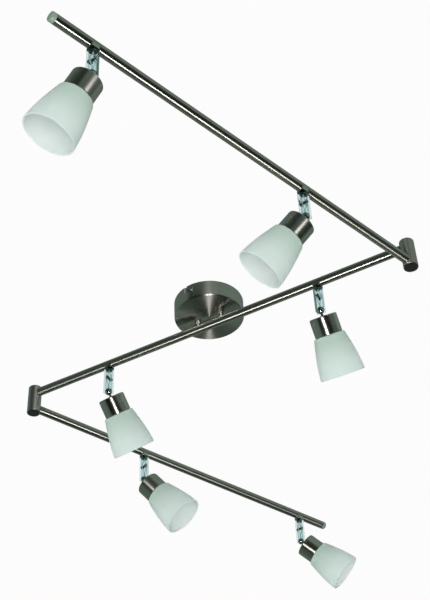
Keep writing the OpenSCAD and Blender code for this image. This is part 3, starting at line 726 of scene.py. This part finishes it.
ring_top = -FLOOR_AT - FLOOR_T - 0.1
ring_inner, ring_end = HOLDER_R + 0.1, ring_top - RING_T
ring = lathe("clamp_ring", soften([
    (ring_inner, ring_end), (RING_R, ring_end), (RING_R, ring_top), (ring_inner, ring_top)],
    [0.3, 0.6, 0.4, 0.2], 4), 96)
grip = moved(rod(1.5, ring_end - 1, ring_top + 1, 32), move(RING_R, 0, 0))
ring = carve("clamp_ring", ring, [moved(grip, turn(a, "Z")) for a in range(0, 360, 60)], bevel=0.15)

base_at = HOLDER_END - HOLDER_RECESS + 0.3
dome = BULB_END - BULB_R
pinch = prism("bulb_pinch", rounded_box(13, 6.8, 1.8), -base_at - 11, -base_at, 0.6)
capsule = [(0, -base_at - 9), (4, -base_at - 9), (5.6, -base_at - 10.6), (6.3, -base_at - 12.2)]
capsule = lathe("bulb_capsule", capsule + arc(0, -dome, BULB_R, 0, -90, 16), 64)
bulb_mesh = joined("bulb_glass", pinch, capsule)
bulb_pin = rod(0.8, -base_at, -base_at + 5, 24)
bulb_pins = joined("bulb_pins", *[moved(bulb_pin, move(x, 0, 0)) for x in (-BULB_PIN_X, BULB_PIN_X)])


def flare(t):
    """How far the bell has widened from its shoulder (0) to its mouth (1)."""
    return 0.75 * sin(pi / 2 * t) + 0.25 * t


RIM = GLASS_WALL / 2
STEPS = 36
inner_neck_r = NECK_R - GLASS_WALL
floor_end = -FLOOR_AT - FLOOR_T
bell_len = MOUTH_AT - RIM - SHOULDER_AT
flank = []
for k in range(STEPS + 1):
    t = k / STEPS
    flank.append((SHOULDER_R + (MOUTH_R - SHOULDER_R) * flare(t), -SHOULDER_AT - bell_len * t))
bell = (
    [(HOLDER_R + 0.25, -FLOOR_AT), (NECK_R - NECK_EDGE, -FLOOR_AT)]
    + arc(NECK_R - NECK_EDGE, -FLOOR_AT - NECK_EDGE, NECK_EDGE, 75, 0, 5)
    + [(NECK_R, -CUP_END - 0.1), (NECK_R + 0.3, -CUP_END - 0.4), (CUP_R - 0.2, -CUP_END - 0.5)]
    + arc(SHOULDER_R - SHOULDER_EDGE, -SHOULDER_AT, SHOULDER_EDGE, 90, 10, 8)
    + flank
    + arc(MOUTH_R - RIM, -MOUTH_AT + RIM, RIM, -15, -165, 8)
    + [(r - GLASS_WALL, z) for r, z in reversed(flank)]
    + arc(inner_neck_r + NECK_EDGE, -CUP_END - NECK_EDGE, NECK_EDGE, 90, 180, 4)
    + [(inner_neck_r, floor_end - 0.8), (inner_neck_r - 0.8, floor_end), (HOLDER_R + 0.25, floor_end)]
)
shade_mesh = lathe("shade", bell, 160, 45)

for n, (side, _, _, _) in LAMPS.items():
    bar_body = BARS[side][2]
    at = lamp_frame(n)
    place(f"saddle_{n}", block, saddle_metal, bar_body, at, [f"saddles_{side}"])
    place(f"saddle_neck_{n}", neck, zinc, bar_body, at)
    arm = f"arm_{n}"
    for k, shell in enumerate(shells):
        place(f"arm_shell_{n}_{'ab'[k]}", shell, acrylic, arm, at, [arm])
    place(f"clamp_screw_{n}", clamp, zinc, arm, at)
    place(f"clamp_nut_{n}", nut, zinc, arm, at)
    place(f"arm_leads_{n}", leads, lead_mat, arm, at)
    at, head = head_frame(n), f"head_{n}"
    place(f"ball_{n}", stud, chrome, head, at, [f"ball_stud_{n}"])
    place(f"cup_metal_{n}", cup_mesh, cup_metal, head, at, [f"cup_{n}"])
    place(f"holder_{n}", holder, steatite, head, at, [f"lampholder_{n}"])
    place(f"clamp_ring_{n}", ring, steatite, head, at)
    place(f"bulb_glass_{n}", bulb_mesh, bulb_mat, head, at, [f"bulb_{n}"])
    place(f"bulb_pins_{n}", bulb_pins, zinc, head, at)
    place(f"glass_{n}", shade_mesh, opal, head, at, [f"shade_{n}"])

# CAD nodes that are shown as they are, with better materials
STAY = {
    "ceiling_bracket": zinc,
    "inlet_grommet": rubber_mat,
    "post_nuts": zinc,
    "terminal_block": block_mat,
    "knuckle_pins": zinc,
    "wiring_centre": lead_mat,
    "wiring_right": lead_mat,
    "wiring_left": lead_mat,
}
for name, mat in STAY.items():
    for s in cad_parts[name].material_slots:
        s.material = mat

# ---------------------------------------------------------------- studio
FLOOR_HALF, FLOOR_Z, FLOOR_GLOW = 60, -2.4, 0.3  # metres, metres and emission strength
scene = bpy.context.scene
floor_bm = bmesh.new()
bmesh.ops.create_grid(floor_bm, x_segments=8, y_segments=8, size=FLOOR_HALF)
floor_mesh = bpy.data.meshes.new("floor")
floor_bm.to_mesh(floor_mesh)
floor_bm.free()
floor = bpy.data.objects.new("floor", floor_mesh)
scene.collection.objects.link(floor)
floor.location.z = FLOOR_Z
floor_mat, nt, bsdf = new_material("pale_floor")
noise = node(nt, "ShaderNodeTexNoise", Scale=3.0, Detail=3.0)
nt.links.new(tint(nt, noise.outputs[0], (0.86, 0.86, 0.85), (0.90, 0.90, 0.89)), bsdf.inputs["Base Color"])
bsdf.inputs["Roughness"].default_value = 0.9
bsdf.inputs["Emission Color"].default_value = (1, 1, 1, 1)
bsdf.inputs["Emission Strength"].default_value = FLOOR_GLOW
# the floor is see-through from underneath, so that a camera below it still sees the lamp
see_through = node(nt, "ShaderNodeBsdfTransparent")
geometry = node(nt, "ShaderNodeNewGeometry")
choose = node(nt, "ShaderNodeMixShader")
nt.links.new(geometry.outputs["Backfacing"], choose.inputs[0])
nt.links.new(bsdf.outputs[0], choose.inputs[1])
nt.links.new(see_through.outputs[0], choose.inputs[2])
nt.links.new(choose.outputs[0], nt.nodes["Material Output"].inputs["Surface"])
floor_mesh.materials.append(floor_mat)
floor.visible_glossy = floor.visible_diffuse = floor.visible_shadow = floor.visible_transmission = False

# World: near white for the camera and through clear pieces, even light for matt surfaces, and for metal
# a grey-green studio that is dark below and on the camera's side, with one faint strip and a paler patch.
world = bpy.data.worlds.new("studio")
scene.world = world
world.use_nodes = True
nt = world.node_tree
back = nt.nodes["Background"]
coord = node(nt, "ShaderNodeTexCoord")
split = node(nt, "ShaderNodeSeparateXYZ")
nt.links.new(coord.outputs["Generated"], split.inputs[0])


def maths(operation, a, b=None):
    n = node(nt, "ShaderNodeMath", operation=operation)
    for socket, value in zip(n.inputs, (a, b)):
        if isinstance(value, (int, float)):
            socket.default_value = value
        elif value is not None:
            nt.links.new(value, socket)
    return n.outputs[0]


def window(value, centre, half, soft):
    """1 within half of centre, falling to 0 over soft."""
    off = maths("ABSOLUTE", maths("SUBTRACT", value, centre))
    r = node(nt, "ShaderNodeMapRange", interpolation_type="SMOOTHSTEP")
    for key, number in (("From Min", half + soft), ("From Max", half), ("To Min", 0.0), ("To Max", 1.0)):
        r.inputs[key].default_value = number
    nt.links.new(off, r.inputs["Value"])
    return r.outputs["Result"]


def blended(below, above, share):
    n = node(nt, "ShaderNodeMix", data_type="RGBA")
    for key, value in (("A", below), ("B", above)):
        if isinstance(value, tuple):
            n.inputs[key].default_value = (*value, 1)
        else:
            nt.links.new(value, n.inputs[key])
    nt.links.new(share, n.inputs["Factor"])
    return n.outputs["Result"]


rise = maths("ARCSINE", maths("MULTIPLY", split.outputs["Z"], 0.9999))


def plan(degrees, wide, soft):
    """1 within wide of a direction in plan."""
    c, d = cos(radians(degrees)), sin(radians(degrees))
    x, y = split.outputs["X"], split.outputs["Y"]
    along = maths("ADD", maths("MULTIPLY", x, c), maths("MULTIPLY", y, d))
    across = maths("SUBTRACT", maths("MULTIPLY", y, c), maths("MULTIPLY", x, d))
    return window(maths("ARCTAN2", across, along), 0, radians(wide), radians(soft))


DARK, GREY = (0.010, 0.013, 0.010), (0.150, 0.200, 0.166)
STRIP, PALE = (0.16, 0.18, 0.16), (0.25, 0.32, 0.27)
EVEN, NEAR_WHITE = (0.80, 0.82, 0.81), (0.975, 0.975, 0.975)
# direction in plan, half width, height, half height, softness (degrees) and colour, each over the last
PATCHES = [
    (320, 82, -4, 42, 8, DARK),
    (0, 180, -90, 42, 8, DARK),
    (350, 7, -8, 9, 5, STRIP),
    (10, 50, 32, 22, 12, PALE),
]
sky = GREY
for where, wide, high, tall, soft, colour in PATCHES:
    level = window(rise, radians(high), radians(tall), radians(soft))
    sky = blended(sky, colour, maths("MULTIPLY", plan(where, wide, soft), level))
path = node(nt, "ShaderNodeLightPath")
unreflected = maths("LESS_THAN", path.outputs["Glossy Depth"], 0.5)
straight = maths("MULTIPLY", path.outputs["Is Transmission Ray"], unreflected)
sky = blended(sky, EVEN, path.outputs["Is Diffuse Ray"])
sky = blended(sky, NEAR_WHITE, maths("MAXIMUM", path.outputs["Is Camera Ray"], straight))
nt.links.new(sky, back.inputs["Color"])


def soft_light(name, spot, target, size, power, colour=(1, 1, 1)):
    """A rectangular light, in metres and watts, that shows in no reflection and through no glass."""
    data = bpy.data.lights.new(name, "AREA")
    data.shape, data.size, data.size_y = "RECTANGLE", size[0], size[1]
    data.energy, data.color = power, colour
    obj = bpy.data.objects.new(name, data)
    scene.collection.objects.link(obj)
    obj.location = spot
    obj.rotation_mode = "QUATERNION"
    obj.rotation_quaternion = (Vector(target) - Vector(spot)).to_track_quat("-Z", "Y")
    obj.visible_glossy = obj.visible_transmission = False
    return obj


AIM = (0, 0, -0.1)
soft_light("key", (1.3, -2.2, -2.1), AIM, (1.6, 1.2), 42, (1.0, 0.98, 0.94))
soft_light("fill", (-2.4, -1.0, -1.6), AIM, (2.0, 1.6), 16)
# the one light that metal reflects, as bright stripes; it lights no matt surface
glint = soft_light("glint", (0.364, -0.608, -1.154), AIM, (0.24, 0.24), 10, (1.0, 0.97, 0.90))
glint.visible_glossy, glint.visible_diffuse = True, False
glint.data.cycles.max_bounces = 1

# ---------------------------------------------------------------- camera at the photograph's angle
AZ, EL, ROLL, DIST, SIDE, RISE, LENS = -27.601, 41.398, -2.733, 1914.2, 10.29, 5.62, 72.0
az, el, roll = radians(AZ), radians(EL), radians(ROLL)
ahead = Vector((sin(az) * cos(el), cos(az) * cos(el), sin(el)))
right = Vector((cos(az), -sin(az), 0))
up = right.cross(ahead)
spot = (-DIST * ahead + SIDE * right + RISE * up) * MM
right, up = cos(roll) * right + sin(roll) * up, -sin(roll) * right + cos(roll) * up
camera = bpy.data.objects.new("camera", bpy.data.cameras.new("camera"))
scene.collection.objects.link(camera)
camera.data.lens, camera.data.sensor_width = LENS, 36
camera.data.clip_start, camera.data.clip_end = 0.05, 60
turned = Matrix((right, up, -ahead)).transposed().to_4x4()
camera.matrix_world = Matrix.Translation(spot) @ turned
scene.camera = camera
scene.view_settings.view_transform = "Standard"

bpy.context.view_layer.update()
